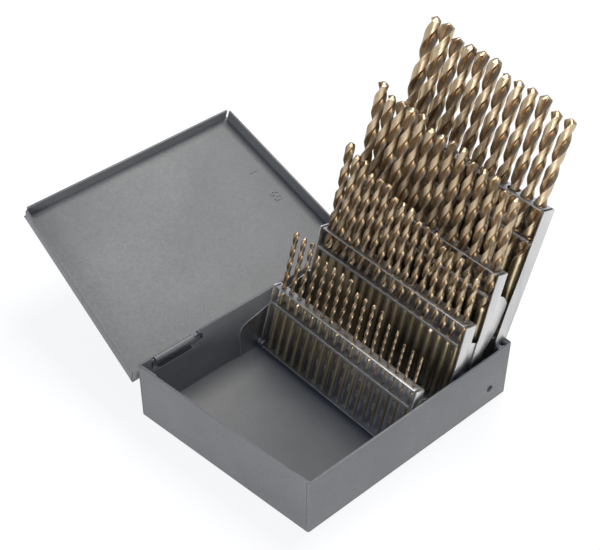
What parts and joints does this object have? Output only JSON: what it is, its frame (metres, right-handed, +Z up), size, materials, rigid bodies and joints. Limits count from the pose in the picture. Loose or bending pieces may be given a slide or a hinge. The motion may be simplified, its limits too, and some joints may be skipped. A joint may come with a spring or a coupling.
{
  "type": "drill bit case",
  "caption": "Hinged sheet-metal case whose folding racks stand up in steps and hold a full set of number-size twist drills.",
  "frame": {"origin": "centre of the underside of the tray, halfway between its left and right ends and its front and hinge walls", "axes": "+X along the hinge towards the racks, +Y from the front wall to the hinge wall, +Z up"},
  "size_m": [0.1448, 0.1696, 0.1219],
  "materials": {
    "grey_enamel": "semi-gloss baked enamel",
    "zinc_sheet": "bright zinc plate",
    "plain_steel": "plain steel",
    "bronze_drill": "gold and bronze oxide"
  },
  "bodies": {
    "tray": {"case_base": "grey_enamel", "bracket_front": "zinc_sheet", "bracket_back": "zinc_sheet", "bracket_rivets": "plain_steel", "hinge_pin_left": "plain_steel", "hinge_pin_right": "plain_steel", "rack_1_pivots": "zinc_sheet", "rack_2_pivots": "zinc_sheet", "rack_3_pivots": "zinc_sheet", "rack_4_pivots": "zinc_sheet"},
    "lid": {"lid": "grey_enamel"},
    "rack_1": {"rack_1_channel": "zinc_sheet", "rack_1_shelf": "zinc_sheet", "drills_44_46": "bronze_drill", "drills_47_51": "bronze_drill", "drills_52_55": "bronze_drill", "drills_56_57": "bronze_drill", "drills_58_60": "bronze_drill"},
    "rack_2": {"rack_2_channel": "zinc_sheet", "rack_2_shelf": "zinc_sheet", "drills_27_27": "bronze_drill", "drills_28_29": "bronze_drill", "drills_30_32": "bronze_drill", "drills_33_35": "bronze_drill", "drills_36_38": "bronze_drill", "drills_39_41": "bronze_drill", "drills_42_43": "bronze_drill"},
    "rack_3": {"rack_3_channel": "zinc_sheet", "rack_3_shelf": "zinc_sheet", "drills_13_13": "bronze_drill", "drills_14_17": "bronze_drill", "drills_18_21": "bronze_drill", "drills_22_24": "bronze_drill", "drills_25_26": "bronze_drill"},
    "rack_4": {"rack_4_channel": "zinc_sheet", "rack_4_shelf": "zinc_sheet", "drills_01_02": "bronze_drill", "drills_03_06": "bronze_drill", "drills_07_10": "bronze_drill", "drills_11_12": "bronze_drill"}
  },
  "joints": [
    {"name": "lid_hinge", "type": "hinge", "parent": "tray", "child": "lid", "pos_m": [0, 0.0428, 0.0234], "axis": [1, 0, 0], "range_deg": [0, 78]},
    {"name": "rack_4_fold", "type": "hinge", "parent": "tray", "child": "rack_4", "pos_m": [0.05237, 0, 0.0245], "axis": [0, -1, 0], "range_deg": [0, 108.6]},
    {"name": "rack_3_fold", "type": "hinge", "parent": "tray", "child": "rack_3", "pos_m": [0.03746, 0, 0.01679], "axis": [0, -1, 0], "range_deg": [0, 104]},
    {"name": "rack_2_fold", "type": "hinge", "parent": "tray", "child": "rack_2", "pos_m": [0.02539, 0, 0.00957], "axis": [0, -1, 0], "range_deg": [0, 103.6]},
    {"name": "rack_1_fold", "type": "hinge", "parent": "tray", "child": "rack_1", "pos_m": [0.00167, 0, 0.00311], "axis": [0, -1, 0], "range_deg": [0, 105.5]}
  ],
  "couplings": [
    {"joint": "rack_1_fold", "follows": "rack_4_fold", "ratio": 0.97145},
    {"joint": "rack_2_fold", "follows": "rack_4_fold", "ratio": 0.95395},
    {"joint": "rack_3_fold", "follows": "rack_4_fold", "ratio": 0.95764}
  ]
}
